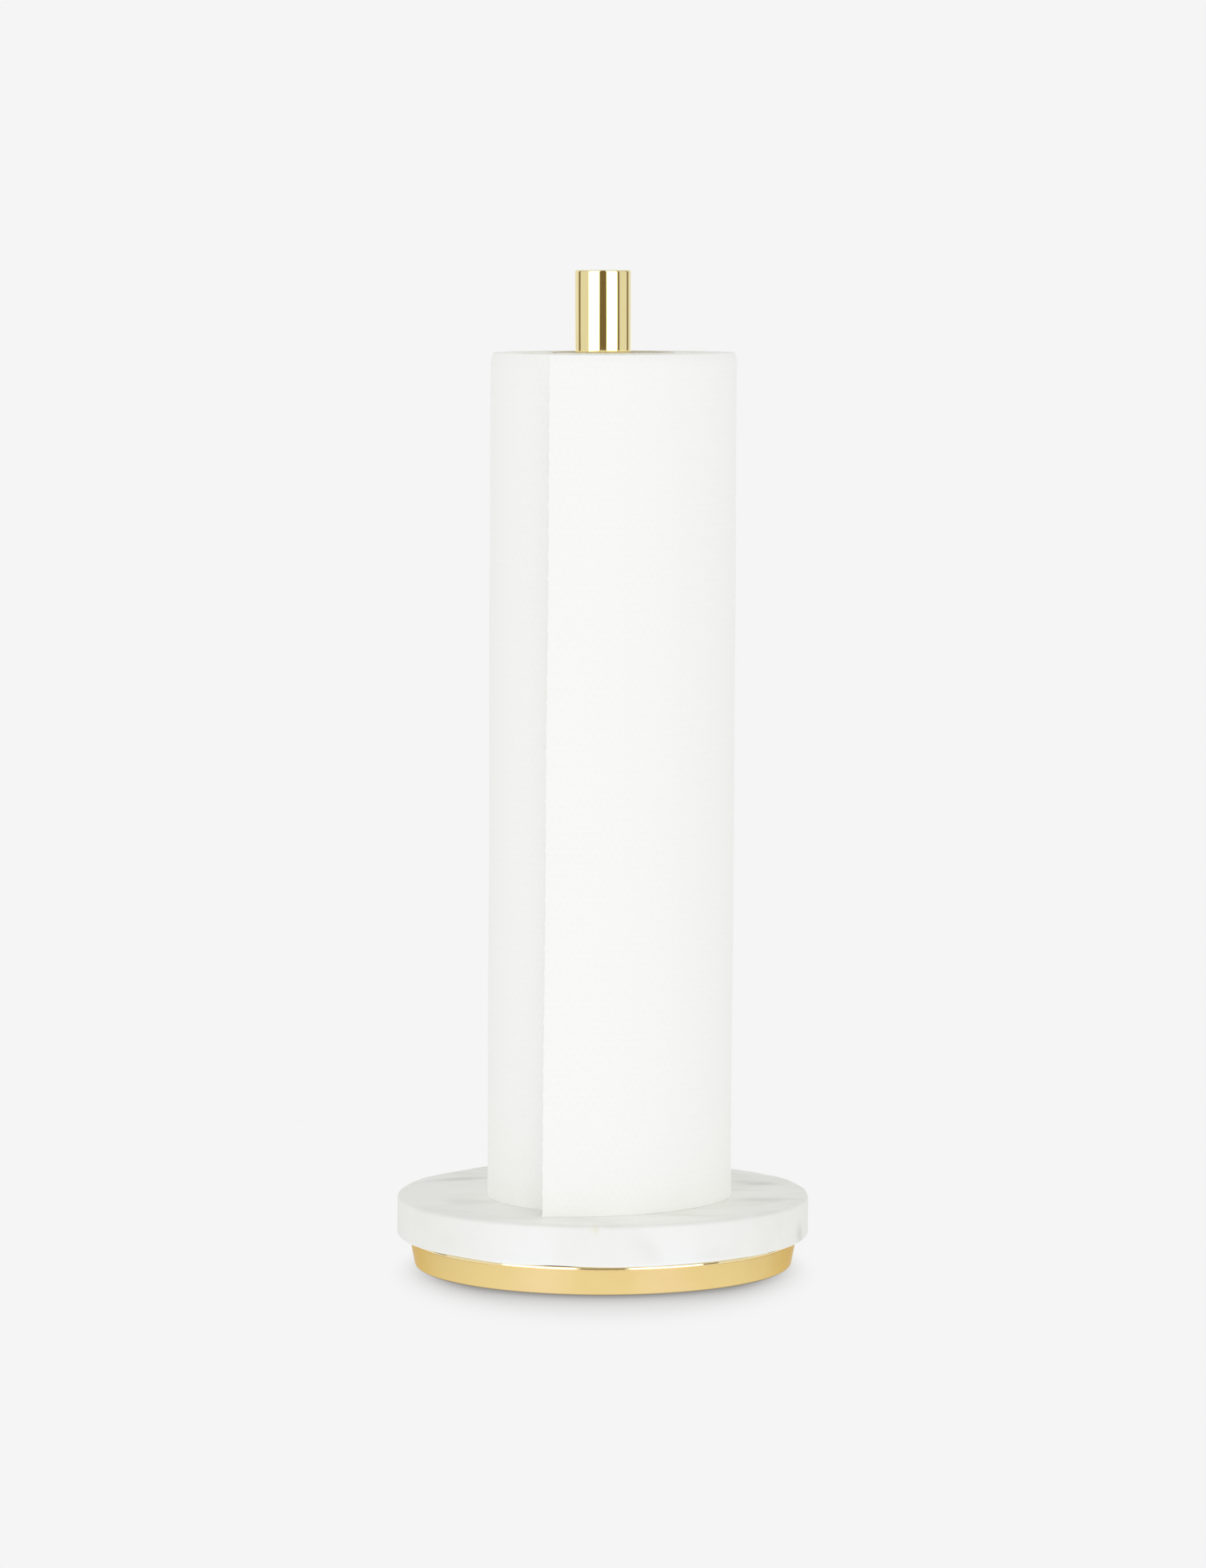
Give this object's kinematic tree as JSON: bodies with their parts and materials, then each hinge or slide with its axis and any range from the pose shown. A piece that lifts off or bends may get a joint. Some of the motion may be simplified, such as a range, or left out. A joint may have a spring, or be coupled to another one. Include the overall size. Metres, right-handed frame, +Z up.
{
  "type": "paper towel holder",
  "caption": "Countertop paper towel holder: a round marble disc on a tapered brass pan, a polished brass post, and a roll of kitchen paper that turns and lifts off.",
  "frame": {"origin": "centre of the stand's underside, on the table", "axes": "+Z up along the post, -Y the front, which the roll's loose end faces, +X to the right seen from the front"},
  "size_m": [0.1368, 0.1368, 0.3302],
  "materials": {
    "marble": "satin",
    "satin_brass": "satin",
    "polished_brass": "polished",
    "black_foam": "matte",
    "grey_pad": "matte",
    "raw_steel": "satin",
    "zinc_steel": "satin",
    "clear_nylon": "satin",
    "core_board": "matte",
    "towel_paper": "matte"
  },
  "bodies": {
    "stand": {"marble_disc": "marble", "base_pan": "satin_brass", "rim_gasket": "black_foam", "centre_gasket": "black_foam", "base_pad": "grey_pad", "ballast_ring": "raw_steel", "clamp_stud": "zinc_steel", "clamp_nut": "zinc_steel", "spring_washer": "zinc_steel", "flat_washer": "zinc_steel", "foot_washer": "clear_nylon", "post_tube": "polished_brass", "post_cap": "polished_brass", "post_foot": "raw_steel"},
    "roll_core": {"core_tube": "core_board"},
    "roll_paper": {"towel_roll": "towel_paper", "loose_sheet": "towel_paper"}
  },
  "joints": [
    {"name": "roll_lift", "type": "slide", "parent": "stand", "child": "roll_core", "axis": [0, 0, 1], "range_m": [0, 0.31]},
    {"name": "roll_spin", "type": "hinge", "parent": "roll_core", "child": "roll_paper", "pos_m": [0.0027, -0.0032, 0.02405], "axis": [0, 0, 1], "continuous": true}
  ]
}
